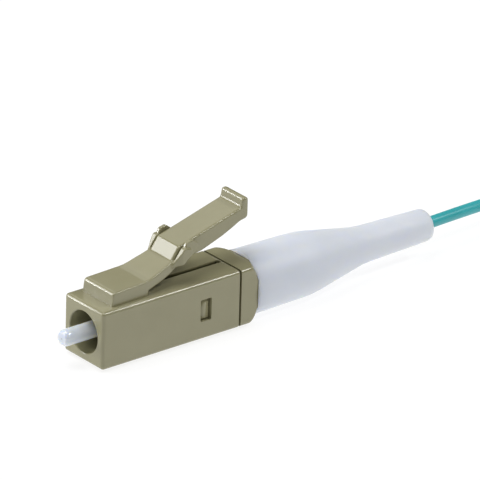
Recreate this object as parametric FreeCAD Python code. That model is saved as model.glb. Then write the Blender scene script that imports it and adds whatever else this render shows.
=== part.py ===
"""LC fibre connector, simplex, on 0.9 mm buffered fibre (a pigtail).

Frame: millimetres, +X from the mating end towards the cable, +Y across, +Z up.
The origin is on the table under the middle of the connector's length. The boot's
base is a little wider than the square housing, so it is the lowest point.
The connector is modelled in stations behind the front face of the housing and
heights above the housing's bottom face, and shifted to the frame when it is
written. The cord and its hank are modelled in the frame itself.
"""
import FreeCAD, Part
import math
import os

V = FreeCAD.Vector

# ---------------------------------------------------------------- driving dimensions
BODY = 4.5                      # square section of the housing and the rear body
HALF = BODY / 2
AXIS_Z = HALF                   # height of the ferrule axis
EDGE_R = 0.27                   # rounding of the long outer edges
FRONT_R = 0.32                  # rounding round the front face

# stations along the connector, measured behind the front face
HOUSING_END = 12.42             # rear face of the front housing
SEAM = 0.16                     # open joint line between housing and rear body
REAR_START = HOUSING_END + SEAM
REAR_END = 14.12                # rear face of the rear body, where the boot starts
FERRULE_OUT = 1.95              # ferrule standing proud of the front face
BOOT_END = 31.60

# front housing, inside
SLEEVE_BORE_R = 1.60            # room for the adapter's alignment sleeve
WEB_START = 5.5                 # web that stops the ferrule flange
WEB_END = 6.2
WEB_HOLE_R = 1.05
CAVITY_R = 1.70                 # spring cavity, which takes the rear body's nose
WALL_BREAK = 0.06               # broken edges at the joint line

# side windows for the rear body's snap tabs
WINDOW = (8.85, 9.85)           # stations
WINDOW_Z = (1.42, 3.14)
TAB_GAP_REAR = 0.20
TAB_GAP_BELOW = 0.16
TAB_FACE = 2.10                 # the tab's face, from the axis plane

# slot down the middle of the housing's top wall
SLOT_START = 6.4
SLOT_WIDTH = 0.25
SLOT_EYE_R = 0.19

# latch
BLOCK_FRONT = 1.35
BLOCK_HALF_W = 1.69
BLOCK_TOP = 5.60
ARM_HALF_W = 1.42
LEVER_HALF_W = 1.28
LUG_HALF_W = 1.85
LATCH_HIGH = 11.0               # level above everything of the latch
ARM_HIGH = 6.41                 # level above the arm and below the lever's free part
TOP_BEVEL = 0.09                # bevel along the latch's long top edges
RAMP_TOP = V(7.52, 0, 7.35)
LIP_FOOT = V(13.18, 0, 8.92)
BLOCK_TOP_FRONT = V(BLOCK_FRONT, 0, BLOCK_TOP)
BLOCK_TOP_REAR = V(4.70, 0, 5.67)
ROOT = 4.52                     # closed end of the notch under the arm
ROOT_R = 0.19
PIVOT = V(5.30, 0, 5.42)        # where the arm bends
KNUCKLE_R = 0.45
KNUCKLE_GAP = 0.02

# ferrule assembly
FERRULE_R = 0.6245
FERRULE_LENGTH = 6.5
FERRULE_CHAMFER = (0.26, 0.17)  # along and across the tip's edge
FIBRE_HOLE_R = 0.0635
BARE_FIBRE_R = 0.0625
COATED_FIBRE_R = 0.125
COATED_FIBRE_END = 9.0
FLANGE_FRONT = 3.1
FLANGE_BOSS_R = 0.95
FLANGE_BACK = 7.0
FLANGE_ACROSS = 2.60            # across the flats of the hexagon
FLANGE_TAIL_R = 0.78
FLANGE_TAIL_END = 10.2
FLANGE_BORE_R = 0.47
EPOXY_END = 5.9

# spring
WIRE_R = 0.125
SPRING_R = 1.09                 # to the middle of the wire
SPRING_TURNS = 6
TURN_STEPS = 12
WIRE_SIDES = 6
SPRING_SEAT = 11.4

# rear body
NOSE_START = 8.3
NOSE_BORE_R = 1.30
REAR_BORE_R = 0.60
SPIGOT_R = 1.30
SPIGOT_END = 18.6
SPIGOT_TIP_R = 1.10
BARB_START = 17.3
BARB_R = 1.42
CORNER_CUT = (13.28, 3.10)      # station and radius where the turned end begins
BOOT_BASE_R = 2.48

# frame
CENTRE = (BOOT_END - FERRULE_OUT) / 2   # station of the frame's origin
LIFT = BOOT_BASE_R - HALF               # height of the housing's bottom above the table

# cable
BUFFER_R = 0.45
BUFFER_FRONT = 7.0
BUFFER_HOLE_R = 0.14
CORD_ROUTE = [                          # from the boot to the hank's first run
    V(BOOT_END - CENTRE, 0, AXIS_Z + LIFT),
    V(20.2, 0.14, 2.50),
    V(24.4, 0.52, 2.30),
    V(29.8, 1.34, 1.14),
    V(35.0, 1.86, 0.67),
]

# hank of the cable's remaining length, an oval of lanes lying on its two ties
HANK_X = (34.4, 52.4)                   # centres of the two folds
HANK_Y = -3.60
HANK_INNER = 2.25
HANK_OUTER = 5.91
HANK_HEIGHT = 3.66
TIE_THICK = 0.22
TIE_WIDTH = 2.4
TIE_X = (40.0, 46.8)


# ---------------------------------------------------------------- helpers
def rounded_path(points, radii, closed=False):
    """A wire of straight runs joined by tangent arcs, one radius per point."""
    count = len(points)
    edges = []
    start = None
    first = None
    for i, corner in enumerate(points):
        middle = None
        into = out = corner
        if radii[i] > 0:
            before = (points[i - 1] - corner).normalize()
            after = (points[(i + 1) % count] - corner).normalize()
            half_turn = (math.pi - before.getAngle(after)) / 2
            cut = radii[i] * math.tan(half_turn)
            into = corner + before * cut
            out = corner + after * cut
            lean = (before + after).normalize()
            middle = corner + lean * (radii[i] / math.cos(half_turn) - radii[i])
        if start is not None:
            edges.append(Part.LineSegment(start, into).toShape())
        else:
            first = into
        if middle is not None:
            edges.append(Part.Arc(into, middle, out).toShape())
        start = out
    if closed:
        edges.append(Part.LineSegment(start, first).toShape())
    return Part.Wire(edges)


def outline(corners):
    """A closed face in the XZ plane from (station, height, radius) corners."""
    points = [V(s, 0, z) for s, z, _ in corners]
    return Part.Face(rounded_path(points, [r for _, _, r in corners], closed=True))


def across(face, half_width):
    """A side outline extruded to both sides of the axis plane."""
    slab = face.extrude(V(0, 2 * half_width, 0))
    slab.translate(V(0, -half_width, 0))
    return slab


def plan(corners, low, high):
    """A shape symmetric about the axis plane, from (station, half width, radius) corners."""
    near = [(V(s, -w, low), r) for s, w, r in corners]
    far = [(V(s, w, low), r) for s, w, r in reversed(corners)]
    ring = near + far
    face = Part.Face(rounded_path([p for p, _ in ring], [r for _, r in ring], closed=True))
    return face.extrude(V(0, 0, high - low))


def turned(corners, about_z=AXIS_Z):
    """A solid of revolution about the ferrule axis from (station, radius) corners."""
    points = [V(s, 0, about_z + r) for s, r in corners]
    face = Part.Face(Part.makePolygon(points + points[:1]))
    return face.revolve(V(0, 0, about_z), V(1, 0, 0), 360)


def rod(radius, start, end):
    """A cylinder on the ferrule axis between two stations."""
    return Part.makeCylinder(radius, end - start, V(start, 0, AXIS_Z), V(1, 0, 0))


def bar(start, end, y_low, y_high, z_low, z_high):
    """A box between two stations."""
    return Part.makeBox(end - start, y_high - y_low, z_high - z_low, V(start, y_low, z_low))


def edges_where(shape, test):
    """The edges whose middle point passes a test."""
    chosen = []
    for edge in shape.Edges:
        low, high = edge.ParameterRange
        if test(edge.valueAt((low + high) / 2)):
            chosen.append(edge)
    return chosen


def square_bar(start, end):
    """A length of the square section with its four long edges rounded."""
    block = bar(start, end, -HALF, HALF, 0, BODY)
    long_edges = edges_where(block, lambda p: abs(abs(p.y) - HALF) < 1e-6
                             and (abs(p.z) < 1e-6 or abs(p.z - BODY) < 1e-6))
    return block.makeFillet(EDGE_R, long_edges)


def knuckle(radius):
    """The round joint between the latch's root and its arm."""
    return Part.makeCylinder(radius, BODY, V(PIVOT.x, -HALF, PIVOT.z), V(0, 1, 0))


# ---------------------------------------------------------------- latch
LEVER_SIDE = [
    (BLOCK_FRONT, 4.2, 0), (BLOCK_FRONT, BLOCK_TOP, 0.16), (BLOCK_TOP_REAR.x, BLOCK_TOP_REAR.z, 3.0),
    (6.86, 6.42, 0.15), (RAMP_TOP.x, RAMP_TOP.z, 0.14), (LIP_FOOT.x, LIP_FOOT.z, 0.14),
    (13.32, 9.60, 0.17),
    (13.80, 9.60, 0.19), (13.80, 8.00, 0.32), (12.86, 7.92, 0.7), (12.05, 7.27, 1.2),
    (11.30, 6.98, 2.0), (7.66, 6.12, 0.8), (6.46, 5.38, 3.0), (ROOT, 4.84, ROOT_R),
    (ROOT, BODY, ROOT_R), (4.95, BODY, 0), (4.95, 4.2, 0),
]
LUG_SIDE = [
    (6.60, 5.95, 0), (6.60, 6.33, 0), (6.88, 6.40, 1.0), (7.76, 7.32, 0.5),
    (8.34, 7.72, 0.34), (8.92, 7.24, 0.34), (8.55, 6.62, 0.3), (7.95, 6.46, 0.4),
    (7.62, 6.12, 0.4),
]
LATCH_PLAN = [
    (BLOCK_FRONT, BLOCK_HALF_W, 0.12), (4.8, BLOCK_HALF_W, 4.0), (6.9, ARM_HALF_W, 2.0),
    (8.2, ARM_HALF_W, 0), (8.2, 0.5, 0),
]
LEVER_PLAN = [(BLOCK_FRONT, LEVER_HALF_W, 0), (13.80, LEVER_HALF_W, 0.16)]
LUG_PLAN = [
    (6.60, ARM_HALF_W, 0), (7.60, ARM_HALF_W, 0.5), (8.00, LUG_HALF_W, 0.25),
    (8.98, LUG_HALF_W, 0.25),
]


def top_bevels(start, end, half_width):
    """Two wedges that bevel the long edges of a top face, which runs from start to end."""
    over = 0.2
    wedges = []
    for side in (-1, 1):
        corners = [(half_width - TOP_BEVEL - over, over), (half_width + over, over),
                   (half_width + over, -TOP_BEVEL - over)]
        ring = [start + V(0, side * y, z) for y, z in corners]
        wedges.append(Part.Face(Part.makePolygon(ring + ring[:1])).extrude(end - start))
    return wedges


def lever_body():
    """The thumb lever with its root, over the whole length of the latch."""
    lever = across(outline(LEVER_SIDE), HALF).common(plan(LEVER_PLAN, 4.0, LATCH_HIGH))
    return lever.cut(top_bevels(RAMP_TOP, LIP_FOOT, LEVER_HALF_W))


def block_and_arm():
    """The wider block at the front with the arm that runs back from it."""
    block = across(outline(LEVER_SIDE), HALF).common(plan(LATCH_PLAN, 4.0, ARM_HIGH))
    return block.cut(top_bevels(BLOCK_TOP_FRONT, BLOCK_TOP_REAR, BLOCK_HALF_W))


def beyond_pivot():
    """The half of the latch's space that moves with the lever."""
    ahead = bar(PIVOT.x, BOOT_END, -HALF, HALF, BODY + 0.1, 12)
    return ahead.fuse(knuckle(KNUCKLE_R))


def make_latch_lever():
    """The moving part of the latch: arm, lugs, ramp and thumb lever."""
    lugs = across(outline(LUG_SIDE), HALF).common(plan(LUG_PLAN, 4.0, LATCH_HIGH))
    inner = LEVER_HALF_W - TOP_BEVEL
    lugs = lugs.cut(bar(PIVOT.x, BOOT_END, -inner, inner, 4.0, LATCH_HIGH))
    latch = lever_body().fuse([block_and_arm(), lugs]).removeSplitter()
    return latch.common(beyond_pivot())


def make_latch_block():
    """The still part of the latch, which is one with the housing."""
    still = bar(0, PIVOT.x, -HALF, HALF, 4.0, 12).cut(knuckle(KNUCKLE_R + KNUCKLE_GAP))
    return lever_body().fuse(block_and_arm()).removeSplitter().common(still)


# ---------------------------------------------------------------- housing and rear body
def make_front_housing():
    """Square housing with the sleeve bore, web, spring cavity, windows, slot and latch block."""
    shell = square_bar(0, HOUSING_END)
    shell = shell.makeFillet(FRONT_R, edges_where(shell, lambda p: p.x < 1e-6))
    shell = shell.makeChamfer(WALL_BREAK, edges_where(shell, lambda p: p.x > HOUSING_END - 1e-6))
    shell = shell.fuse(make_latch_block())
    hollow = turned([(-1, 0), (-1, SLEEVE_BORE_R), (WEB_START, SLEEVE_BORE_R),
                     (WEB_START, WEB_HOLE_R), (WEB_END, WEB_HOLE_R), (WEB_END, CAVITY_R),
                     (HOUSING_END + 1, CAVITY_R), (HOUSING_END + 1, 0)])
    windows = bar(*WINDOW, -HALF - 1, HALF + 1, *WINDOW_Z)
    slot = bar(SLOT_START, HOUSING_END + 1, -SLOT_WIDTH / 2, SLOT_WIDTH / 2, AXIS_Z, BODY + 0.02)
    eye = Part.makeCylinder(SLOT_EYE_R, HALF, V(HOUSING_END - 0.1, 0, AXIS_Z))
    return shell.cut([hollow, windows, slot, eye])


def snap_tab(side):
    """One snap tab on the rear body's nose, ramped towards the front."""
    start = WINDOW[0]
    end = WINDOW[1] - TAB_GAP_REAR
    low = WINDOW_Z[0] + TAB_GAP_BELOW
    corners = [V(start, side * 1.4, low), V(start, side * (TAB_FACE - 0.22), low),
               V(start + 0.35, side * TAB_FACE, low), V(end, side * TAB_FACE, low),
               V(end, side * 1.4, low)]
    face = Part.Face(Part.makePolygon(corners + corners[:1]))
    return face.extrude(V(0, 0, WINDOW_Z[1] - low))


def make_rear_body():
    """Rear body: nose with snap tabs, square block with a turned end, and the boot's spigot."""
    block = square_bar(REAR_START, REAR_END)
    block = block.makeChamfer(WALL_BREAK, edges_where(block, lambda p: p.x < REAR_START + 1e-6))
    envelope = turned([(REAR_START - 1, 0), (REAR_START - 1, 4), (CORNER_CUT[0], 4),
                       CORNER_CUT, (REAR_END, BOOT_BASE_R), (REAR_END, 0)])
    block = block.common(envelope)
    nose = rod(CAVITY_R, NOSE_START, REAR_START + 0.3)
    spigot = turned([(REAR_END - 0.5, 0), (REAR_END - 0.5, SPIGOT_R), (BARB_START, SPIGOT_R),
                     (BARB_START, BARB_R), (SPIGOT_END, SPIGOT_TIP_R), (SPIGOT_END, 0)])
    solid = block.fuse([nose, spigot, snap_tab(-1), snap_tab(1)])
    bore = turned([(NOSE_START - 1, 0), (NOSE_START - 1, NOSE_BORE_R), (SPRING_SEAT, NOSE_BORE_R),
                   (SPRING_SEAT, REAR_BORE_R), (SPIGOT_END + 1, REAR_BORE_R),
                   (SPIGOT_END + 1, 0)])
    return solid.cut(bore)


# ---------------------------------------------------------------- boot
BOOT_OUTER = [(REAR_END, BOOT_BASE_R - 0.07, 0), (REAR_END + 0.07, BOOT_BASE_R, 0),
              (20.25, 2.38, 5.0), (25.30, 1.41, 7.0), (BOOT_END - 0.22, 1.22, 0),
              (BOOT_END, 1.02, 0)]


def make_boot():
    """The moulded strain-relief boot, a turned form pushed onto the rear body's spigot."""
    inner = [(BOOT_END, BUFFER_R, 0), (SPIGOT_END, BUFFER_R, 0), (SPIGOT_END, SPIGOT_TIP_R, 0),
             (BARB_START, BARB_R, 0), (BARB_START, SPIGOT_R, 0), (REAR_END, SPIGOT_R, 0)]
    corners = BOOT_OUTER + inner
    points = [V(s, 0, AXIS_Z + r) for s, r, _ in corners]
    wire = rounded_path(points, [r for _, _, r in corners], closed=True)
    return Part.Face(wire).revolve(V(0, 0, AXIS_Z), V(1, 0, 0), 360)


# ---------------------------------------------------------------- ferrule assembly
def make_ferrule():
    """Ceramic ferrule with a chamfered tip and the fibre's hole."""
    along, over = FERRULE_CHAMFER
    tip = -FERRULE_OUT
    end = tip + FERRULE_LENGTH
    return turned([(tip, FIBRE_HOLE_R), (tip, FERRULE_R - over), (tip + along, FERRULE_R),
                   (end, FERRULE_R), (end, FIBRE_HOLE_R)])


def make_ferrule_flange():
    """Metal holder: boss round the ferrule, hexagon against the web, tail inside the spring."""
    boss = rod(FLANGE_BOSS_R, FLANGE_FRONT, WEB_END)
    corner = FLANGE_ACROSS / math.sqrt(3)
    ring = [V(WEB_END, corner * math.cos(math.radians(60 * i)),
              AXIS_Z + corner * math.sin(math.radians(60 * i))) for i in range(6)]
    hexagon = Part.Face(Part.makePolygon(ring + ring[:1])).extrude(V(FLANGE_BACK - WEB_END, 0, 0))
    tail = rod(FLANGE_TAIL_R, FLANGE_BACK, FLANGE_TAIL_END)
    ferrule_end = FERRULE_LENGTH - FERRULE_OUT
    bores = rod(FERRULE_R, FLANGE_FRONT - 1, ferrule_end).fuse(
        rod(FLANGE_BORE_R, ferrule_end, FLANGE_TAIL_END + 1))
    return boss.fuse([hexagon, tail]).cut(bores)


def make_bare_fibre():
    """The stripped fibre inside the ferrule."""
    return rod(BARE_FIBRE_R, -FERRULE_OUT, FERRULE_LENGTH - FERRULE_OUT)


def make_coated_fibre():
    """The coated fibre between the ferrule and the cable's buffer."""
    return rod(COATED_FIBRE_R, FERRULE_LENGTH - FERRULE_OUT, COATED_FIBRE_END)


def make_epoxy_bead():
    """Epoxy behind the ferrule, round the coated fibre."""
    start = FERRULE_LENGTH - FERRULE_OUT
    return rod(FLANGE_BORE_R, start, EPOXY_END).cut(rod(COATED_FIBRE_R, start - 1, EPOXY_END + 1))


def wire_ring(turn):
    """The spring wire's section at a number of turns from its front end."""
    angle = 2 * math.pi * turn
    length = SPRING_SEAT - FLANGE_BACK - 2 * WIRE_R
    radial = V(0, math.sin(angle), math.cos(angle))
    rise = length / SPRING_TURNS / (2 * math.pi * SPRING_R)
    along = V(rise, math.cos(angle), -math.sin(angle)).normalize()
    beside = along.cross(radial)
    middle = V(FLANGE_BACK + WIRE_R + length * turn / SPRING_TURNS, 0, AXIS_Z) + radial * SPRING_R
    corners = []
    for k in range(WIRE_SIDES):
        around = 2 * math.pi * k / WIRE_SIDES
        corners.append(middle + radial * (WIRE_R * math.cos(around))
                       + beside * (WIRE_R * math.sin(around)))
    return Part.makePolygon(corners + corners[:1])


def make_spring():
    """Helical compression spring, its round wire drawn with a few flats to stay light."""
    rings = [wire_ring(step / TURN_STEPS) for step in range(SPRING_TURNS * TURN_STEPS + 1)]
    return Part.makeLoft(rings, True, True)


def make_buffer_inside():
    """The length of 0.9 mm buffer held inside the connector."""
    solid = rod(BUFFER_R, BUFFER_FRONT, BOOT_END)
    return solid.cut(rod(BUFFER_HOLE_R, BUFFER_FRONT - 1, COATED_FIBRE_END + 1.5))


# ---------------------------------------------------------------- cord and hank
def print_route_radii(route, radii):
    """Print the arc radius at each inner point of a cord's route."""
    for point, radius in zip(route[1:-1], radii[1:-1]):
        print(f"cord point ({point.x:.2f}, {point.y:.2f}, {point.z:.2f}): radius {radius:.1f} mm")


def make_fibre_cord():
    """The free cable from the boot to the hank: straight runs joined by tangent arcs."""
    route = CORD_ROUTE
    radii = [0.0] * len(route)
    for i in range(1, len(route) - 1):
        run_in = route[i] - route[i - 1]
        run_out = route[i + 1] - route[i]
        shorter = min(run_in.Length, run_out.Length)
        radii[i] = 0.45 * shorter / math.tan(run_in.getAngle(run_out) / 2)
    print_route_radii(route, radii)
    path = rounded_path(route, radii)
    start = (route[1] - route[0]).normalize()
    section = Part.Face(Part.Wire(Part.makeCircle(BUFFER_R, route[0], start)))
    tube = path.makePipe(section)
    print(f"cord tube: {tube.Volume:.4f} mm3, section times length "
          f"{math.pi * BUFFER_R ** 2 * path.Length:.4f} mm3")
    return tube.cut(make_fibre_hank())


def oval(inset, low, high):
    """A solid oval round the hank's two folds, at a distance from their centres."""
    left, right = HANK_X
    near, far = HANK_Y - inset, HANK_Y + inset
    edges = [
        Part.LineSegment(V(left, far, low), V(right, far, low)).toShape(),
        Part.Arc(V(right, far, low), V(right + inset, HANK_Y, low), V(right, near, low)).toShape(),
        Part.LineSegment(V(right, near, low), V(left, near, low)).toShape(),
        Part.Arc(V(left, near, low), V(left - inset, HANK_Y, low), V(left, far, low)).toShape(),
    ]
    return Part.Face(Part.Wire(edges)).extrude(V(0, 0, high - low))


def make_fibre_hank():
    """The outer shape of the wound cable, resting on its ties."""
    top = TIE_THICK + HANK_HEIGHT
    ring = oval(HANK_OUTER, TIE_THICK, top)
    return ring.cut(oval(HANK_INNER, TIE_THICK - 1, top + 1))


def make_hank_tie(x, side):
    """A flat tie round one long side of the hank, starting at x."""
    width = HANK_OUTER - HANK_INNER
    inner_y = HANK_Y + side * (HANK_INNER + HANK_OUTER) / 2 - width / 2
    band = bar(x, x + TIE_WIDTH, inner_y - TIE_THICK, inner_y + width + TIE_THICK,
               0, HANK_HEIGHT + 2 * TIE_THICK)
    window = bar(x - 1, x + TIE_WIDTH + 1, inner_y, inner_y + width,
                 TIE_THICK, TIE_THICK + HANK_HEIGHT)
    return band.cut(window)


# ---------------------------------------------------------------- parts
CONNECTOR = {
    "front_housing": make_front_housing,
    "latch_lever": make_latch_lever,
    "rear_body": make_rear_body,
    "strain_boot": make_boot,
    "ferrule": make_ferrule,
    "ferrule_flange": make_ferrule_flange,
    "bare_fibre": make_bare_fibre,
    "coated_fibre": make_coated_fibre,
    "epoxy_bead": make_epoxy_bead,
    "ferrule_spring": make_spring,
    "buffer_inside": make_buffer_inside,
}


CORD = {
    "fibre_cord": make_fibre_cord,
    "fibre_hank": make_fibre_hank,
    "hank_tie_left": lambda: make_hank_tie(TIE_X[0], 1),
    "hank_tie_right": lambda: make_hank_tie(TIE_X[1], -1),
}


def write(name, shape):
    """Write one part's STEP file and print what it holds."""
    print(f"{name}: {len(shape.Solids)} solid, {shape.Volume:.3f} mm3, valid {shape.isValid()}")
    shape.exportStep(f"parts/{name}.step")


def main():
    """Build every part and write its STEP file."""
    os.makedirs("parts", exist_ok=True)
    for name, make in CONNECTOR.items():
        shape = make()
        shape.translate(V(-CENTRE, 0, LIFT))
        write(name, shape)
    for name, make in CORD.items():
        write(name, make())


main()
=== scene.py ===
"""A small fibre connector and its pigtail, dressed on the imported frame.

Every piece is modelled in millimetres and scaled to the frame's metres when it is
finished. Stations are distances behind the front face of the housing, and heights are
measured from the housing's underside.
"""
import logging
import math
from contextlib import contextmanager
from dataclasses import dataclass, field
from enum import Enum
from typing import Callable, ClassVar, Iterator, Sequence

import bmesh
import bpy
from mathutils import Matrix, Vector


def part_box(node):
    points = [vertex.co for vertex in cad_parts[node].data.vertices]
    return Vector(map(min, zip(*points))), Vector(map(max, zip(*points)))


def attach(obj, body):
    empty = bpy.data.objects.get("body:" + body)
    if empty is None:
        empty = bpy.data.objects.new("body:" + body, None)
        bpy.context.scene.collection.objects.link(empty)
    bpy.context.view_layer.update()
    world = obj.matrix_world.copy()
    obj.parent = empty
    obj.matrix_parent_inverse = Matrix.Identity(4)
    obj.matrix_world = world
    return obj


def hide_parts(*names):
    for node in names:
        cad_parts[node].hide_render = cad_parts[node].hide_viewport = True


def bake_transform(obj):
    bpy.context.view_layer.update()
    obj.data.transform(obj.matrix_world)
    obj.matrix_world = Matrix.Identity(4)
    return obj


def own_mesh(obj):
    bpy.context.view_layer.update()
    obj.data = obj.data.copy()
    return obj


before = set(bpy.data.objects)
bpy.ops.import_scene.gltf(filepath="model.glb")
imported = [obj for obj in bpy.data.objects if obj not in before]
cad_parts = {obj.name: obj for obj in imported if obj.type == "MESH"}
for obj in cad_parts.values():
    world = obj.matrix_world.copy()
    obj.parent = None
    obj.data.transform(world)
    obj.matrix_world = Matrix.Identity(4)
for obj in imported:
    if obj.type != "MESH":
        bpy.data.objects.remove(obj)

LOG = logging.getLogger("fibre_connector")
MM = 0.001
ARC_STEP = math.radians(9)
TOUCH = 1e-4                     # points nearer than this are one, in millimetres
PLANE = 1e-3                     # a point nearer than this to a plane lies in it
STRAIGHT = 1e-3                  # an outline that turns by less than this goes straight on
ALONG = (0.0, math.pi / 2, 0.0)  # turns a ring's normal along the ferrule's axis
ROUND_SIDES = 96                 # sides of a large turned shape
BORE_SIDES = 48                  # sides of a small bore
EYE_SIDES = 24                   # sides of the slit's round end
Point = tuple[float, float, float]
Colour = tuple[float, float, float]
Outline = Sequence[tuple[float, float, float]]
Profile = Sequence[tuple[float, float]]


# ---------------------------------------------------------------- places on the frame
@dataclass(frozen=True)
class Layout:
    """Where the connector lies in the frame, in millimetres."""

    front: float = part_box("front_housing")[0][0] / MM
    underside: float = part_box("front_housing")[0][2] / MM
    boot_end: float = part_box("strain_boot")[1][0] / MM
    body: float = 4.5

    @property
    def axis_height(self) -> float:
        """Height of the ferrule's axis in the frame."""
        return self.underside + self.body / 2

    def place(self, station: float, across: float = 0.0, height: float = 0.0) -> Vector:
        """A point in the frame.

        Args:
            station: Distance behind the housing's front face.
            across: Distance to the far side of the middle plane.
            height: Distance above the housing's underside.

        Returns:
            The point, in millimetres.
        """
        return Vector((self.front + station, across, self.underside + height))

    def on_axis(self, station: float) -> Vector:
        """The point of the ferrule's axis at a station, in millimetres."""
        return self.place(station, 0.0, self.body / 2)


LAYOUT = Layout()


# ---------------------------------------------------------------- modelling tools
class Side(Enum):
    """The two sides of the connector."""

    NEAR = -1
    FAR = 1


def deselect_all() -> None:
    """Leaves nothing selected."""
    for obj in bpy.context.selected_objects:
        obj.select_set(False)


def select_only(obj: bpy.types.Object) -> None:
    """Makes obj the one selected, active object."""
    deselect_all()
    obj.select_set(True)
    bpy.context.view_layer.objects.active = obj


@contextmanager
def editing(obj: bpy.types.Object) -> Iterator[None]:
    """Edit mode on obj, with everything deselected to begin with."""
    select_only(obj)
    bpy.ops.object.mode_set(mode="EDIT")
    bpy.ops.mesh.select_mode(type="VERT")
    bpy.ops.mesh.select_all(action="DESELECT")
    try:
        yield
    finally:
        bpy.ops.object.mode_set(mode="OBJECT")


def pick_vertices(obj: bpy.types.Object, test: Callable[[Vector], bool]) -> None:
    """Selects the vertices of the mesh in edit mode that pass a test.

    Args:
        obj: The object in edit mode.
        test: Given a vertex's place, whether to select it.
    """
    mesh = bmesh.from_edit_mesh(obj.data)
    for vertex in mesh.verts:
        vertex.select_set(bool(test(vertex.co)))
    mesh.select_flush_mode()
    bmesh.update_edit_mesh(obj.data)


def pick_edges(obj: bpy.types.Object, test: Callable[[Vector, Vector], bool]) -> None:
    """Selects the edges of the mesh in edit mode whose two ends pass a test.

    Args:
        obj: The object in edit mode.
        test: Given an edge's two ends, whether to select it.
    """
    bpy.ops.mesh.select_mode(type="EDGE")
    mesh = bmesh.from_edit_mesh(obj.data)
    for edge in mesh.edges:
        edge.select_set(bool(test(edge.verts[0].co, edge.verts[1].co)))
    bmesh.update_edit_mesh(obj.data)


def runs_along(start: Vector, end: Vector) -> bool:
    """Whether an edge runs along the connector, by a millimetre or more."""
    return abs(start.x - end.x) > 1


def round_edges(radius: float, segments: int) -> None:
    """Rounds the selected edges of the mesh in edit mode."""
    bpy.ops.mesh.bevel(offset=radius, segments=segments, affect="EDGES")


def rounded_outline(corners: Outline) -> list[tuple[float, float]]:
    """Rounds the corners of a closed outline.

    Args:
        corners: Station, height and radius of each corner.

    Returns:
        Points on the straight runs and arcs, in order.
    """
    points = []
    count = len(corners)
    for k, (x, z, radius) in enumerate(corners):
        here = Vector((x, z))
        back = (Vector(corners[k - 1][:2]) - here).normalized()
        ahead = (Vector(corners[(k + 1) % count][:2]) - here).normalized()
        turn = math.pi - back.angle(ahead)
        if radius <= 0 or turn < STRAIGHT:
            points.append((x, z))
            continue
        reach = radius * math.tan(turn / 2)
        centre = here + (back + ahead).normalized() * (radius / math.cos(turn / 2))
        steps = max(2, math.ceil(turn / ARC_STEP))
        first = here + back * reach - centre
        last = here + ahead * reach - centre
        for step in range(steps + 1):
            along = math.sin(turn * step / steps) / math.sin(turn)
            before = math.sin(turn * (1 - step / steps)) / math.sin(turn)
            spot = centre + first * before + last * along
            points.append((spot.x, spot.y))
    return points


def draw_slab(corners: Outline, start: float, end: float) -> bpy.types.Object:
    """Draws an outline corner by corner, fills it and extrudes it across the connector.

    Args:
        corners: Station, height and radius of each corner.
        start: Where the outline is drawn, across the connector.
        end: Where the extrusion ends.

    Returns:
        The slab, in millimetres.
    """
    points = rounded_outline(corners)
    deselect_all()
    bpy.ops.mesh.primitive_plane_add(size=1, location=(0, 0, 0))
    slab = bpy.context.active_object
    with editing(slab):
        bpy.ops.mesh.select_all(action="SELECT")
        bpy.ops.mesh.merge(type="CENTER")
        bpy.ops.transform.translate(value=LAYOUT.place(points[0][0], start, points[0][1]))
        for here, ahead in zip(points, points[1:]):
            step = (ahead[0] - here[0], 0, ahead[1] - here[1])
            bpy.ops.mesh.extrude_vertices_move(TRANSFORM_OT_translate={"value": step})
        ends = [LAYOUT.place(x, start, z) for x, z in (points[0], points[-1])]
        pick_vertices(slab, lambda p: min((p - q).length for q in ends) < TOUCH)
        bpy.ops.mesh.edge_face_add()
        bpy.ops.mesh.select_all(action="SELECT")
        bpy.ops.mesh.edge_face_add()
        bpy.ops.mesh.extrude_region_move(
            TRANSFORM_OT_translate={"value": (0, end - start, 0)})
        face_outwards()
    return slab


def add_ring(station: float, radius: float, sides: int, fill: str) -> bpy.types.Object:
    """Adds a ring round the ferrule's axis.

    Args:
        station: Where it stands.
        radius: Its radius.
        sides: How many sides it has.
        fill: NOTHING leaves it open and NGON closes it with a face.

    Returns:
        The ring, in millimetres.
    """
    deselect_all()
    bpy.ops.mesh.primitive_circle_add(vertices=sides, radius=radius, fill_type=fill,
                                      location=LAYOUT.on_axis(station), rotation=ALONG)
    ring = bpy.context.active_object
    bpy.ops.object.transform_apply(location=True, rotation=True, scale=True)
    return ring


def resize_ring(ratio: float) -> None:
    """Resizes the selection about the ferrule's axis."""
    bpy.ops.transform.resize(value=(1, ratio, ratio), center_override=LAYOUT.on_axis(0))


def draw_sections(profile: Profile, extrude: Callable[..., set[str]]) -> None:
    """Draws the selected ring out along the ferrule's axis, section by section.

    Args:
        profile: Station and radius of each section, from the ring itself on.
        extrude: The operator that extrudes the selection.
    """
    for (station, radius), (next_station, next_radius) in zip(profile, profile[1:]):
        extrude(TRANSFORM_OT_translate={"value": (next_station - station, 0, 0)})
        resize_ring(next_radius / radius)


def face_outwards() -> None:
    """Turns every face of the mesh in edit mode outwards."""
    bpy.ops.mesh.select_all(action="SELECT")
    bpy.ops.mesh.normals_make_consistent(inside=False)


def turned_piece(profile: Profile, sides: int) -> bpy.types.Object:
    """Draws a turned piece out of a ring, section by section, along the ferrule's axis.

    Args:
        profile: Station and radius of each section, closed by a face at both ends.
        sides: How many sides the ring has.

    Returns:
        The piece, in millimetres.
    """
    piece = add_ring(*profile[0], sides, "NGON")
    with editing(piece):
        bpy.ops.mesh.select_all(action="SELECT")
        draw_sections(profile, bpy.ops.mesh.extrude_region_move)
        face_outwards()
    return piece


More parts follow.
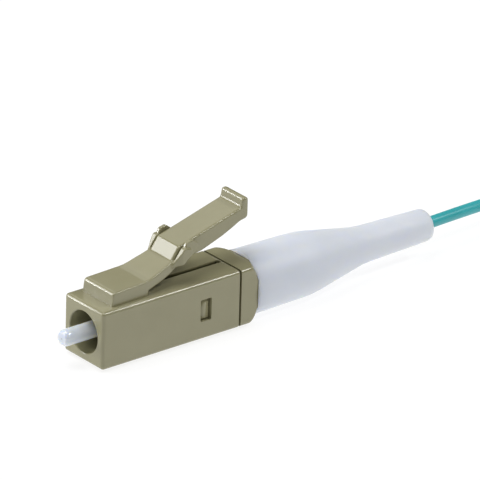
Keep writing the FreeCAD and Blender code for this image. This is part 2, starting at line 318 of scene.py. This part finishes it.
def block(low: Vector, high: Vector) -> bpy.types.Object:
    """A plain block between two corners, in millimetres."""
    deselect_all()
    bpy.ops.mesh.primitive_cube_add(size=1, location=(low + high) / 2)
    made = bpy.context.active_object
    made.scale = high - low
    bpy.ops.object.transform_apply(location=True, rotation=True, scale=True)
    return made


def cut_away(obj: bpy.types.Object, tool: bpy.types.Object,
             operation: str = "DIFFERENCE") -> None:
    """Cuts a piece by a tool, or keeps what they share, and removes the tool.

    Args:
        obj: The piece.
        tool: The tool's shape.
        operation: DIFFERENCE or INTERSECT.
    """
    cut = obj.modifiers.new("cut", "BOOLEAN")
    cut.operation = operation
    cut.solver = "EXACT"
    cut.object = tool
    apply_modifiers(obj)
    bpy.data.objects.remove(tool)


def apply_modifiers(obj: bpy.types.Object) -> None:
    """Applies every modifier on obj, in order."""
    select_only(obj)
    for modifier in list(obj.modifiers):
        bpy.ops.object.modifier_apply(modifier=modifier.name)


def join_pieces(pieces: Sequence[bpy.types.Object]) -> bpy.types.Object:
    """Joins pieces into the first of them, and returns it."""
    deselect_all()
    for piece in pieces:
        piece.select_set(True)
    bpy.context.view_layer.objects.active = pieces[0]
    bpy.ops.object.join()
    return pieces[0]


def melt(obj: bpy.types.Object, grain: float, softening: int) -> None:
    """Melts a piece into one skin and softens its edges.

    Args:
        obj: The piece, in millimetres.
        grain: Size of the skin's cells.
        softening: How many times the skin is smoothed.
    """
    skin = obj.modifiers.new("melt", "REMESH")
    skin.mode = "VOXEL"
    skin.voxel_size = grain
    soften = obj.modifiers.new("soften", "SMOOTH")
    soften.factor = 0.5
    soften.iterations = softening
    apply_modifiers(obj)


def finish_piece(obj: bpy.types.Object, name: str, smooth_degrees: float = 180.0) -> None:
    """Brings a piece modelled in millimetres to the frame's metres and smooths it.

    The finished piece is at the origin, unturned and unscaled.

    Args:
        obj: The piece, in millimetres.
        name: Its name in the finished scene.
        smooth_degrees: Edges sharper than this stay sharp.
    """
    obj.name = name
    obj.data.name = name
    select_only(obj)
    bpy.ops.object.transform_apply(location=True, rotation=True, scale=True)
    obj.scale = (MM, MM, MM)
    bpy.ops.object.transform_apply(location=False, rotation=False, scale=True)
    if smooth_degrees >= 180:
        bpy.ops.object.shade_smooth()
    else:
        bpy.ops.object.shade_smooth_by_angle(angle=math.radians(smooth_degrees))
    LOG.info("%s: %d faces", name, len(obj.data.polygons))


def even_shading(obj: bpy.types.Object) -> None:
    """Lets the large flat faces of a piece rule its shading."""
    even = obj.modifiers.new("even_shading", "WEIGHTED_NORMAL")
    even.keep_sharp = True
    apply_modifiers(obj)


# ---------------------------------------------------------------- finishes
def linear(colour: Colour) -> Colour:
    """A display colour from 0 to 255 as scene-linear values."""
    def channel(value: float) -> float:
        value /= 255
        return value / 12.92 if value <= 0.04045 else ((value + 0.055) / 1.055) ** 2.4
    return tuple(channel(value) for value in colour)


@dataclass(frozen=True)
class Finish:
    """A moulded, turned or drawn surface: its colour, gloss and fine relief.

    Attributes:
        name: Its name.
        colour: The lighter tone of its mottle, from 0 to 255.
        shade: The darker tone.
        roughness, metallic, specular, transmission: The shader's own values.
        grain_mm: Size of the fine grain.
        relief_mm: Height of the fine grain.
        mottle_mm: Size of the mottle.
        subsurface_mm: How far light spreads inside, or 0 for not at all.
    """

    name: str
    colour: Colour
    shade: Colour
    roughness: float
    metallic: float = 0.0
    specular: float = 0.5
    grain_mm: float = 0.25
    relief_mm: float = 0.002
    mottle_mm: float = 2.5
    transmission: float = 0.0
    subsurface_mm: float = 0.0
    mottle_span: ClassVar[tuple[float, float]] = (0.3, 0.7)
    relief_strength: ClassVar[float] = 0.5
    spread: ClassVar[Colour] = (1.0, 0.9, 0.7)

    def material(self) -> bpy.types.Material:
        """Builds the node material, once."""
        title = f"{self.name}_finish"
        made = bpy.data.materials.get(title)
        if made is not None:
            return made
        made = bpy.data.materials.new(title)
        made.use_nodes = True
        tree = made.node_tree
        shader = tree.nodes["Principled BSDF"]
        shader.inputs["Roughness"].default_value = self.roughness
        shader.inputs["Metallic"].default_value = self.metallic
        shader.inputs["Specular IOR Level"].default_value = self.specular
        shader.inputs["Transmission Weight"].default_value = self.transmission
        if self.subsurface_mm:
            shader.inputs["Subsurface Weight"].default_value = 1.0
            shader.inputs["Subsurface Scale"].default_value = self.subsurface_mm * MM
            shader.inputs["Subsurface Radius"].default_value = self.spread
        place = tree.nodes.new("ShaderNodeTexCoord")
        self._colour(tree, place, shader)
        self._relief(tree, place, shader)
        return made

    def _noise(self, tree: bpy.types.NodeTree, place: bpy.types.Node, size_mm: float,
               detail: float) -> bpy.types.Node:
        """A noise on the object's own coordinates.

        Args:
            tree: The material's nodes.
            place: The texture coordinates.
            size_mm: Size of the noise's features.
            detail: How many octaves it has.

        Returns:
            The noise node.
        """
        noise = tree.nodes.new("ShaderNodeTexNoise")
        noise.inputs["Scale"].default_value = 1 / (size_mm * MM)
        noise.inputs["Detail"].default_value = detail
        tree.links.new(place.outputs["Object"], noise.inputs["Vector"])
        return noise

    def _colour(self, tree: bpy.types.NodeTree, place: bpy.types.Node,
                shader: bpy.types.Node) -> None:
        """Mixes the two tones of the surface by a soft mottle."""
        mottle = self._noise(tree, place, self.mottle_mm, 3.0)
        ramp = tree.nodes.new("ShaderNodeValToRGB")
        for stop, position, tone in zip(ramp.color_ramp.elements, self.mottle_span,
                                        (self.shade, self.colour)):
            stop.position = position
            stop.color = (*linear(tone), 1)
        tree.links.new(mottle.outputs["Fac"], ramp.inputs["Fac"])
        tree.links.new(ramp.outputs["Color"], shader.inputs["Base Color"])

    def _relief(self, tree: bpy.types.NodeTree, place: bpy.types.Node,
                shader: bpy.types.Node) -> None:
        """Gives the surface its fine grain."""
        grain = self._noise(tree, place, self.grain_mm, 4.0)
        bump = tree.nodes.new("ShaderNodeBump")
        bump.inputs["Strength"].default_value = self.relief_strength
        bump.inputs["Distance"].default_value = self.relief_mm * MM
        tree.links.new(grain.outputs["Fac"], bump.inputs["Height"])
        tree.links.new(bump.outputs["Normal"], shader.inputs["Normal"])

    def dress(self, obj: bpy.types.Object) -> None:
        """Puts the finish on every slot of a piece or node."""
        material = self.material()
        if not obj.data.materials:
            obj.data.materials.append(material)
        for index in range(len(obj.data.materials)):
            obj.data.materials[index] = material


HOUSING_PLASTIC = Finish("housing_plastic", (148, 144, 112), (144, 140, 108), 0.21,
                         specular=0.7)
BOOT_RUBBER = Finish("boot_rubber", (215, 220, 229), (211, 216, 226), 0.46, specular=0.4,
                     subsurface_mm=2.2)
CERAMIC = Finish("ceramic", (224, 230, 238), (220, 226, 235), 0.14, relief_mm=0.0005,
                 subsurface_mm=0.25)
PLATED_METAL = Finish("plated_metal", (190, 186, 176), (176, 172, 162), 0.25, metallic=1.0,
                      relief_mm=0.001)
FIBRE_GLASS = Finish("fibre_glass", (226, 232, 236), (220, 228, 232), 0.08, transmission=0.25)
FIBRE_COATING = Finish("fibre_coating", (120, 205, 205), (110, 196, 196), 0.2)
EPOXY = Finish("epoxy", (208, 158, 72), (196, 144, 60), 0.15)
SPRING_STEEL = Finish("spring_steel", (184, 184, 186), (170, 170, 172), 0.22, metallic=1.0)
CABLE_JACKET = Finish("cable_jacket", (62, 174, 179), (57, 168, 173), 0.34)
TIE_BAND = Finish("tie_band", (238, 238, 236), (232, 232, 230), 0.4)


# ---------------------------------------------------------------- camera and light
@dataclass(frozen=True)
class Camera:
    """The camera: where it looks, from which direction and how far off.

    Attributes:
        target: The point that it stands opposite to.
        azimuth, elevation, roll: Its direction and tilt, in degrees.
        distance: How far it stands off, in millimetres.
        aside, raised: How far it is shifted in its own plane.
        lens: Its focal length.
    """

    target: Vector = field(default_factory=lambda: LAYOUT.place(17.0, 0.0, 2.25))
    azimuth: float = -39.339
    elevation: float = 24.631
    roll: float = 1.544
    distance: float = 600.0
    aside: float = -2.149
    raised: float = 2.393
    lens: float = 623.7

    def make(self) -> bpy.types.Object:
        """Adds the camera and makes it the scene's."""
        turn, rise, tilt = (math.radians(a) for a in (self.azimuth, self.elevation, self.roll))
        back = Vector((math.sin(turn) * math.cos(rise), -math.cos(turn) * math.cos(rise),
                       math.sin(rise)))
        right = Vector((math.cos(turn), math.sin(turn), 0))
        up = back.cross(right)
        right, up = (right * math.cos(tilt) + up * math.sin(tilt),
                     up * math.cos(tilt) - right * math.sin(tilt))
        spot = self.target + right * self.aside + up * self.raised + back * self.distance
        data = bpy.data.cameras.new("camera")
        data.lens = self.lens
        data.clip_start = 0.01
        data.clip_end = 10.0
        camera = bpy.data.objects.new("camera", data)
        bpy.context.scene.collection.objects.link(camera)
        axes = Matrix((right, up, back)).transposed().to_4x4()
        camera.matrix_world = Matrix.Translation(spot * MM) @ axes
        bpy.context.scene.camera = camera
        bpy.context.scene.view_settings.view_transform = "Standard"
        return camera


@dataclass(frozen=True)
class Lamp:
    """One soft white studio lamp, aimed at the connector.

    Attributes:
        name: Its name.
        direction: Where it stands, seen from the connector.
        power: Its power in watts.
        size: Its diameter.
        distance: How far it stands off.
    """

    name: str
    direction: Point
    power: float
    size: float
    distance: float = 300.0
    aim: ClassVar[Vector] = LAYOUT.place(12.0, 0.0, 2.0)

    def make(self) -> None:
        """Adds the lamp."""
        data = bpy.data.lights.new(self.name, "AREA")
        data.shape = "DISK"
        data.size = self.size * MM
        data.energy = self.power
        lamp = bpy.data.objects.new(self.name, data)
        bpy.context.scene.collection.objects.link(lamp)
        away = Vector(self.direction).normalized()
        spot = self.aim + away * self.distance
        lamp.matrix_world = (Matrix.Translation(spot * MM)
                             @ away.to_track_quat("Z", "Y").to_matrix().to_4x4())


@dataclass
class Studio:
    """The pale floor, the white surround and the lamps."""

    floor_size: float = 1200.0
    floor_tone: float = 0.2
    floor_glow: float = 0.84
    surround_glow: float = 0.06
    lamps: tuple[Lamp, ...] = (
        Lamp("over_lamp", (-0.28, 0.10, 0.95), 0.55, 220.0),
        Lamp("key_lamp", (-0.58, 0.70, 0.41), 0.30, 130.0),
        Lamp("rim_lamp", (-0.68, 0.72, 0.12), 0.16, 40.0),
        Lamp("edge_lamp", (0.576, -0.417, 0.703), 0.22, 36.0),
        Lamp("lever_lamp", (0.24, -0.50, 0.83), 0.14, 50.0),
        Lamp("sheen_lamp", (0.28, 0.70, 0.655), 0.048, 150.0),
    )

    def make(self) -> None:
        """Builds the whole surround."""
        self._floor()
        self._surround()
        for lamp in self.lamps:
            lamp.make()

    def _floor(self) -> None:
        """A plain white floor under the object."""
        deselect_all()
        bpy.ops.mesh.primitive_plane_add(size=self.floor_size * MM, location=(0, 0, 0))
        floor = bpy.context.active_object
        floor.name = "floor"
        material = bpy.data.materials.new("floor_white")
        material.use_nodes = True
        shader = material.node_tree.nodes["Principled BSDF"]
        shader.inputs["Base Color"].default_value = (*[self.floor_tone] * 3, 1)
        shader.inputs["Roughness"].default_value = 0.9
        shader.inputs["Specular IOR Level"].default_value = 0.0
        shader.inputs["Emission Color"].default_value = (1, 1, 1, 1)
        shader.inputs["Emission Strength"].default_value = self.floor_glow
        floor.data.materials.append(material)

    def _surround(self) -> None:
        """An even white light from all round."""
        world = bpy.data.worlds.new("surround")
        world.use_nodes = True
        back = world.node_tree.nodes["Background"]
        back.inputs["Color"].default_value = (1, 1, 1, 1)
        back.inputs["Strength"].default_value = self.surround_glow
        bpy.context.scene.world = world


# ---------------------------------------------------------------- cable
@dataclass
class Pigtail:
    """The free cable: out of the boot, down to the table and into a tied hank.

    Attributes:
        radius: The cable's radius.
        route: Points in the frame between the boot and the hank.
        fold_x: The middles of the left and right folds.
        hank_y: The hank's middle line.
        first_lane: Radius of the innermost fold.
        pitch: From one lane, or layer, to the next.
        lanes, layers: How many turns lie side by side and above each other.
        floor_gap: Between the lowest turn and the table.
        fold_points: How many points draw a fold.
        run_in: Where a straight run ends, before the middle of the fold.
    """

    radius: float = 0.45
    route: tuple[Point, ...] = ((20.2, 0.14, 2.50), (24.4, 0.52, 2.30), (29.8, 1.34, 1.14),
                                (35.0, 1.86, 0.67))
    fold_x: tuple[float, float] = (34.65, 52.15)
    hank_y: float = -3.60
    first_lane: float = 2.82
    pitch: float = 0.905
    lanes: int = 4
    layers: int = 4
    floor_gap: float = 0.22
    fold_points: int = 7
    run_in: float = 2.4

    def lane_radius(self, lane: float) -> float:
        """Radius of a lane's fold, counted from the inside."""
        return self.first_lane + self.pitch * lane

    def _turn_points(self, turn: int) -> list[Vector]:
        """The control points of one turn round both folds.

        Args:
            turn: The turn's number, from the table up.

        Returns:
            Points from the far run, round the right fold, the near run and the left fold.
        """
        layer, step = divmod(turn, self.lanes)
        inwards = layer % 2 == 0
        lane = self.lanes - 1 - step if inwards else step
        last_of_layer = step == self.lanes - 1
        next_lane = lane if last_of_layer else lane + (-1 if inwards else 1)
        height = self.floor_gap + self.radius + layer * self.pitch
        rise = self.pitch if last_of_layer and layer < self.layers - 1 else 0.0
        left, right = self.fold_x
        sector = math.pi / self.fold_points
        points = []
        for fold, middle in enumerate((right, left)):
            radius = self.lane_radius(lane if fold == 0 else next_lane)
            level = height if fold == 0 else height + rise
            reach = radius / math.cos(sector / 2)
            outward = 1 if fold == 0 else -1
            run = outward * self.run_in
            start = outward * radius
            points.append(Vector((middle - run, self.hank_y + start, level)))
            for k in range(self.fold_points):
                angle = (k + 0.5) * sector
                points.append(Vector((middle + outward * reach * math.sin(angle),
                                      self.hank_y + outward * reach * math.cos(angle), level)))
            points.append(Vector((middle - run, self.hank_y - start, level)))
        return points

    def _route_points(self) -> list[Vector]:
        """All control points of the cable, in millimetres."""
        points = [Vector((LAYOUT.boot_end, 0.0, LAYOUT.axis_height))]
        points += [Vector(p) for p in self.route]
        for turn in range(self.lanes * self.layers):
            points += self._turn_points(turn)
        return points

    def make(self) -> bpy.types.Object:
        """Builds the cable as one NURBS curve."""
        data = bpy.data.curves.new("fibre_cable", "CURVE")
        data.dimensions = "3D"
        data.bevel_depth = self.radius * MM
        data.bevel_resolution = 6
        data.resolution_u = 8
        data.use_fill_caps = True
        points = self._route_points()
        spline = data.splines.new("NURBS")
        spline.points.add(len(points) - 1)
        for slot, point in zip(spline.points, points):
            slot.co = (*(point * MM), 1.0)
        spline.order_u = 3
        spline.use_endpoint_u = True
        cable = bpy.data.objects.new("fibre_cable", data)
        bpy.context.scene.collection.objects.link(cable)
        CABLE_JACKET.dress(cable)
        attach(cable, "housing")
        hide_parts("fibre_cord", "fibre_hank")
        LOG.info("fibre_cable: %d control points", len(points))
        return cable


# ---------------------------------------------------------------- boot
@dataclass
class Boot:
    """The tapered strain relief, moulded in one piece.

    Attributes:
        profile: Station and radius of each section.
        seat_radius: Where its front face ends, against the rear body.
        mouth: Setback and radius of each section inside its mouth.
    """

    profile: tuple[tuple[float, float], ...] = (
        (14.12, 2.405), (14.135, 2.44), (14.19, 2.475), (14.30, 2.478), (16.0, 2.448),
        (18.0, 2.417), (19.0, 2.400), (19.6, 2.380), (20.0, 2.345), (20.4, 2.290), (20.9, 2.207),
        (22.0, 1.998), (23.0, 1.809), (24.0, 1.620), (24.6, 1.512), (25.1, 1.439), (25.6, 1.395),
        (26.3, 1.369), (28.0, 1.320), (30.0, 1.265), (31.10, 1.235), (31.30, 1.217),
        (31.46, 1.160), (31.56, 1.060), (31.60, 0.930),
    )
    seat_radius: float = 1.6
    mouth: tuple[tuple[float, float], ...] = ((0.01, 0.60), (0.06, 0.52), (0.9, 0.50))

    def make(self) -> bpy.types.Object:
        """Draws the boot out of a ring, section by section, and closes its mouth inside."""
        station, radius = self.profile[0]
        end = self.profile[-1][0]
        boot = add_ring(station, radius, ROUND_SIDES, "NOTHING")
        with editing(boot):
            bpy.ops.mesh.select_all(action="SELECT")
            bpy.ops.mesh.extrude_edges_move()
            resize_ring(self.seat_radius / radius)
            pick_vertices(boot, lambda p: (p - LAYOUT.on_axis(station)).length > radius - PLANE)
            draw_sections([*self.profile, *((end - back, inner) for back, inner in self.mouth)],
                          bpy.ops.mesh.extrude_edges_move)
            face_outwards()
        finish_piece(boot, "boot_skin")
        BOOT_RUBBER.dress(boot)
        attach(boot, "housing")
        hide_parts("strain_boot")
        return boot


# ---------------------------------------------------------------- housing
@dataclass
class Housing:
    """The square front housing with its bore, cavity, windows and slit.

    Attributes:
        end: Its rear face.
        edge, rear_edge: Rounding of its long and front edges, and of its rear edges.
        bore: Station and radius of the bore's sections.
        window: First and last station, and lowest and highest level, of a side window.
        window_cut: From the middle plane, where the window's space starts and ends.
        window_corner: Rounding of the window's corners.
        slit: First and last station, and half width, of the slit in the roof.
        slit_cut: Lowest and highest level of the slit's space.
        relief_half_width, relief_beyond: Of the wider space under the slit.
        slit_wall: Wall left beside the slit.
        eye_radius, eye_height, eye_depth: Of the round space at the slit's end.
        rim: Rounding of the openings' edges.
    """

    end: float = 12.42
    edge: float = 0.28
    rear_edge: float = 0.06
    bore: tuple[tuple[float, float], ...] = (
        (-1.0, 1.66), (0.0, 1.66), (0.06, 1.60), (5.5, 1.60), (5.501, 1.05), (6.2, 1.05),
        (6.201, 1.70), (13.4, 1.70))
    window: tuple[float, float, float, float] = (8.85, 9.85, 1.42, 3.14)
    window_cut: tuple[float, float] = (1.5, 3.0)
    window_corner: float = 0.09
    slit: tuple[float, float, float] = (6.4, 12.09, 0.21)
    slit_cut: tuple[float, float] = (2.25, 5.0)
    relief_half_width: float = 0.36
    relief_beyond: float = 0.1
    slit_wall: float = 0.12
    eye_radius: float = 0.24
    eye_height: float = 4.2
    eye_depth: float = 2.0
    rim: float = 0.035

    def make(self) -> bpy.types.Object:
        """Builds the housing and its openings."""
        half = LAYOUT.body / 2
        shell = block(LAYOUT.place(0, -half, 0), LAYOUT.place(self.end, half, LAYOUT.body))
        front, rear = LAYOUT.place(0).x, LAYOUT.place(self.end).x
        with editing(shell):
            pick_edges(shell, lambda a, b: runs_along(a, b) or max(a.x, b.x) < front + PLANE)
            round_edges(self.edge, 6)
            pick_edges(shell, lambda a, b: min(a.x, b.x) > rear - PLANE)
            round_edges(self.rear_edge, 2)
        cut_away(shell, turned_piece(self.bore, ROUND_SIDES))
        for side in Side:
            cut_away(shell, self._window_tool(side))
        start, end, half_slit = self.slit
        low, high = self.slit_cut
        cut_away(shell, block(LAYOUT.place(start, -half_slit, low),
                              LAYOUT.place(end, half_slit, high)))
        cut_away(shell, block(LAYOUT.place(start, -self.relief_half_width, low),
                              LAYOUT.place(end + self.relief_beyond, self.relief_half_width,
                                           LAYOUT.body - self.slit_wall)))
        cut_away(shell, self._eye_tool())
        soft = shell.modifiers.new("soft_rims", "BEVEL")
        soft.width = self.rim
        soft.segments = 2
        soft.limit_method = "ANGLE"
        soft.angle_limit = math.radians(40)
        apply_modifiers(shell)
        finish_piece(shell, "housing_shell", smooth_degrees=35)
        even_shading(shell)
        HOUSING_PLASTIC.dress(shell)
        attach(shell, "housing")
        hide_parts("front_housing")
        return shell

    def _window_tool(self, side: Side) -> bpy.types.Object:
        """The space of one side window, its corners a little rounded."""
        start, end, low, high = self.window
        near, far = sorted(side.value * across for across in self.window_cut)
        tool = block(LAYOUT.place(start, near, low), LAYOUT.place(end, far, high))
        with editing(tool):
            pick_edges(tool, lambda a, b: abs(a.y - b.y) > PLANE)
            round_edges(self.window_corner, 4)
        return tool

    def _eye_tool(self) -> bpy.types.Object:
        """The round end of the slit."""
        deselect_all()
        middle = LAYOUT.place(self.slit[1], 0, self.eye_height)
        bpy.ops.mesh.primitive_cylinder_add(vertices=EYE_SIDES, radius=self.eye_radius,
                                            depth=self.eye_depth, location=middle)
        bpy.ops.object.transform_apply(location=True, rotation=True, scale=True)
        return bpy.context.active_object


# ---------------------------------------------------------------- latch
@dataclass
class Latch:
    """The latch in one moulding: block, bending arm, two lugs and the thumb lever.

    Attributes:
        arm, lever, lug, ledge, bridge: Station, height and radius of an outline's corners.
        block_half_width, lever_half_width: What the arm and the lever are drawn with.
        lug_width, ledge_width, bridge_width: From the middle plane, on both sides.
        arm_plan, ledge_plan: Half width at each station, to which a slab is brought.
        plan_band: Only this far in from its sides is a slab brought in.
        rim: Rounding of the arm's and the lever's long edges.
        arm_rim_above, lever_rim_above: The levels above which they are rounded.
        grain, softening: Of the skin that they are melted into.
        bend: First and last station of the part that bends, and its height. Not used.
    """

    arm: tuple[tuple[float, float, float], ...] = (
        (1.19, 4.30, 0), (1.30, 5.54, 0.28), (4.70, 5.66, 3.0), (6.84, 6.41, 0.1),
        (8.00, 6.41, 0), (7.66, 6.13, 0.6), (6.46, 5.38, 3.0), (4.52, 4.84, 0.19),
        (4.52, 4.30, 0))
    lever: tuple[tuple[float, float, float], ...] = (
        (6.56, 6.00, 0), (7.52, 7.35, 0.14), (13.18, 8.92, 0.14), (13.32, 9.60, 0.17),
        (13.80, 9.60, 0.19), (13.80, 8.00, 0.32), (13.10, 7.87, 0.8), (12.36, 7.50, 1.5),
        (11.50, 7.12, 3.0), (9.70, 6.50, 1.5), (7.68, 6.13, 0.4))
    lug: tuple[tuple[float, float, float], ...] = (
        (7.30, 6.70, 0), (7.70, 7.22, 0.1), (7.90, 7.70, 0.15), (8.45, 7.84, 0.3),
        (9.05, 7.40, 0.3), (8.85, 6.85, 0.2), (8.30, 6.55, 0))
    ledge: tuple[tuple[float, float, float], ...] = (
        (6.62, 5.96, 0), (7.61, 7.31, 0.12), (7.78, 7.33, 0.1), (8.24, 7.20, 0.08),
        (8.34, 6.75, 0.2), (7.95, 6.46, 0.4), (7.62, 6.14, 0.4))
    bridge: tuple[tuple[float, float, float], ...] = (
        (8.20, 6.60, 0), (8.50, 7.30, 0.1), (9.00, 7.30, 0.1), (8.80, 6.80, 0))
    block_half_width: float = 1.74
    lever_half_width: float = 1.28
    lug_width: tuple[float, float] = (1.38, 1.70)
    ledge_width: tuple[float, float] = (1.38, 1.85)
    bridge_width: tuple[float, float] = (1.00, 1.50)
    arm_plan: tuple[tuple[float, float], ...] = (
        (1.19, 1.74), (4.20, 1.70), (4.90, 1.64), (5.60, 1.57), (6.30, 1.475), (6.90, 1.42),
        (8.20, 1.42))
    ledge_plan: tuple[tuple[float, float], ...] = (
        (6.62, 1.46), (6.90, 1.55), (7.15, 1.68), (7.35, 1.79), (7.50, 1.84), (7.65, 1.85),
        (8.40, 1.85))
    plan_band: float = 0.3
    rim: float = 0.13
    arm_rim_above: float = 5.0
    lever_rim_above: float = 6.2
    grain: float = 0.040
    softening: int = 14
    bend: tuple[float, float, float] = (4.90, 6.20, 5.4)

    def make(self) -> bpy.types.Object:
        """Builds the parts of the latch and melts them into one."""
        arm = draw_slab(self.arm, -self.block_half_width, self.block_half_width)
        self._round_rims(arm, self.block_half_width, self.arm_rim_above)
        self._taper(arm, self.arm_plan, self.block_half_width)
        lever = draw_slab(self.lever, -self.lever_half_width, self.lever_half_width)
        self._round_rims(lever, self.lever_half_width, self.lever_rim_above)
        pieces = [arm, lever]
        for side in Side:
            for outline, (inner, outer) in ((self.lug, self.lug_width),
                                            (self.ledge, self.ledge_width),
                                            (self.bridge, self.bridge_width)):
                pieces.append(draw_slab(outline, side.value * inner, side.value * outer))
                if outline is self.ledge:
                    self._taper(pieces[-1], self.ledge_plan, outer)
        latch = join_pieces(pieces)
        melt(latch, self.grain, self.softening)
        finish_piece(latch, "latch_moulding")
        HOUSING_PLASTIC.dress(latch)
        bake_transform(latch)
        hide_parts("latch_lever")
        return latch

    @staticmethod
    def _width_at(plan: Profile, station: float) -> float:
        """The half width that a plan gives at a station."""
        for (before, width), (after, next_width) in zip(plan, plan[1:]):
            if before <= station <= after:
                return width + (next_width - width) * (station - before) / (after - before)
        return plan[-1][1]

    def _taper(self, slab: bpy.types.Object, plan: Profile, drawn: float) -> None:
        """Cuts a slab at stations and brings it to its half width there.

        Args:
            slab: The slab.
            plan: Station and half width, in order.
            drawn: The half width that the slab was drawn with.
        """
        with editing(slab):
            for station, _ in plan[1:-1]:
                bpy.ops.mesh.select_all(action="SELECT")
                bpy.ops.mesh.bisect(plane_co=LAYOUT.place(station), plane_no=(1, 0, 0))
            mesh = bmesh.from_edit_mesh(slab.data)
            for x in sorted({round(v.co.x, 4) for v in mesh.verts}):
                width = self._width_at(plan, x - LAYOUT.front)
                if abs(width - drawn) < 1e-6:
                    continue
                pick_vertices(slab, lambda p: abs(p.x - x) < PLANE
                              and abs(p.y) > drawn - self.plan_band)
                bpy.ops.transform.resize(value=(1, width / drawn, 1),
                                         center_override=LAYOUT.place(0))

    def _round_rims(self, slab: bpy.types.Object, half_width: float, above: float) -> None:
        """Rounds a slab's edges along both sides, above a level."""
        with editing(slab):
            pick_edges(slab, lambda a, b: abs(a.y - b.y) < TOUCH and min(a.z, b.z) > above
                       and abs(a.y) > half_width - TOUCH)
            round_edges(self.rim, 3)


# ---------------------------------------------------------------- rear body
@dataclass
class RearBody:
    """The rear body: a square block, rounded off towards the boot, on the frame's own nose.

    Attributes:
        start, end: Its front and rear faces.
        edge: Rounding of its long edges.
        envelope: Station and radius of the turned shape that rounds it off.
        bore_radius: Its bore.
        run_up: How much longer the block is drawn in front, to be cut square.
        overlap: How far the node's own parts reach into the block.
        grain, softening: Of the skin that it is melted into.
    """

    start: float = 12.58
    end: float = 14.12
    edge: float = 0.30
    envelope: tuple[tuple[float, float], ...] = (
        (12.0, 3.4), (13.30, 3.12), (13.55, 3.03), (13.72, 2.93), (13.86, 2.80), (13.98, 2.65),
        (14.07, 2.50), (14.12, 2.38), (14.30, 2.20))
    bore_radius: float = 0.60
    run_up: float = 0.4
    overlap: float = 0.02
    grain: float = 0.05
    softening: int = 8

    def make(self) -> bpy.types.Object:
        """Builds the block anew and joins it to the node's nose, tabs and spigot."""
        half = LAYOUT.body / 2
        body = block(LAYOUT.place(self.start - self.run_up, -half, 0),
                     LAYOUT.place(self.end, half, LAYOUT.body))
        with editing(body):
            pick_edges(body, runs_along)
            round_edges(self.edge, 6)
        cut_away(body, turned_piece(self.envelope, ROUND_SIDES), "INTERSECT")
        melt(body, self.grain, self.softening)
        self._trim(body, self.start, False)
        cut_away(body, turned_piece(((self.start - 1, self.bore_radius),
                                     (self.end + 1, self.bore_radius)), BORE_SIDES))
        join_pieces([body, self._node_part(self.start + self.overlap, True),
                     self._node_part(self.end - self.overlap, False)])
        finish_piece(body, "rear_body_skin", smooth_degrees=40)
        even_shading(body)
        HOUSING_PLASTIC.dress(body)
        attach(body, "housing")
        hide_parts("rear_body")
        return body

    def _trim(self, obj: bpy.types.Object, station: float, keep_front: bool) -> None:
        """Cuts a piece square at a station and closes it there."""
        with editing(obj):
            bpy.ops.mesh.select_all(action="SELECT")
            bpy.ops.mesh.bisect(plane_co=LAYOUT.place(station), plane_no=(1, 0, 0),
                                use_fill=True, clear_inner=not keep_front,
                                clear_outer=keep_front)

    def _node_part(self, station: float, keep_front: bool) -> bpy.types.Object:
        """A copy of the node's own mesh on one side of a station, in millimetres."""
        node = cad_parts["rear_body"]
        copy = bpy.data.objects.new("rear_part", node.data.copy())
        bpy.context.scene.collection.objects.link(copy)
        copy.matrix_world = Matrix.Scale(1 / MM, 4) @ node.matrix_world
        select_only(copy)
        bpy.ops.object.transform_apply(location=True, rotation=True, scale=True)
        with editing(copy):
            bpy.ops.mesh.select_all(action="SELECT")
            bpy.ops.mesh.remove_doubles(threshold=TOUCH)
        self._trim(copy, station, keep_front)
        return copy


# ---------------------------------------------------------------- carried-over nodes
@dataclass
class CarriedNodes:
    """The frame's own pieces that keep their shape, with their finishes.

    Attributes:
        finishes: The finish of each node.
        spring_seat: The point that the spring is pressed towards, in metres. Not used.
        ferrule_travel: How far the ferrule is pushed in, in metres. Not used.
    """

    finishes: dict[str, Finish] = field(default_factory=lambda: {
        "ferrule": CERAMIC,
        "ferrule_flange": PLATED_METAL,
        "bare_fibre": FIBRE_GLASS,
        "coated_fibre": FIBRE_COATING,
        "epoxy_bead": EPOXY,
        "ferrule_spring": SPRING_STEEL,
        "buffer_inside": CABLE_JACKET,
        "hank_tie_left": TIE_BAND,
        "hank_tie_right": TIE_BAND,
    })
    spring_seat: Point = (-0.003425, 0.0, 0.00248)
    ferrule_travel: float = 0.0008

    def dress(self) -> None:
        """Puts each node's finish on it, and gives the spring a mesh of its own."""
        for name, finish in self.finishes.items():
            finish.dress(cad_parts[name])
            LOG.info("%s: %s", name, finish.name)
        self._press_spring(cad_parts["ferrule_spring"])

    def _press_spring(self, spring: bpy.types.Object) -> None:
        """Gives the spring a mesh of its own."""
        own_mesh(spring)


def main() -> None:
    """Builds and dresses the connector."""
    logging.basicConfig(level=logging.INFO, format="%(message)s")
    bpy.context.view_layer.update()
    Camera().make()
    Pigtail().make()
    Studio().make()
    CarriedNodes().dress()
    Boot().make()
    Housing().make()
    RearBody().make()
    Latch().make()


if __name__ == "__main__":
    main()
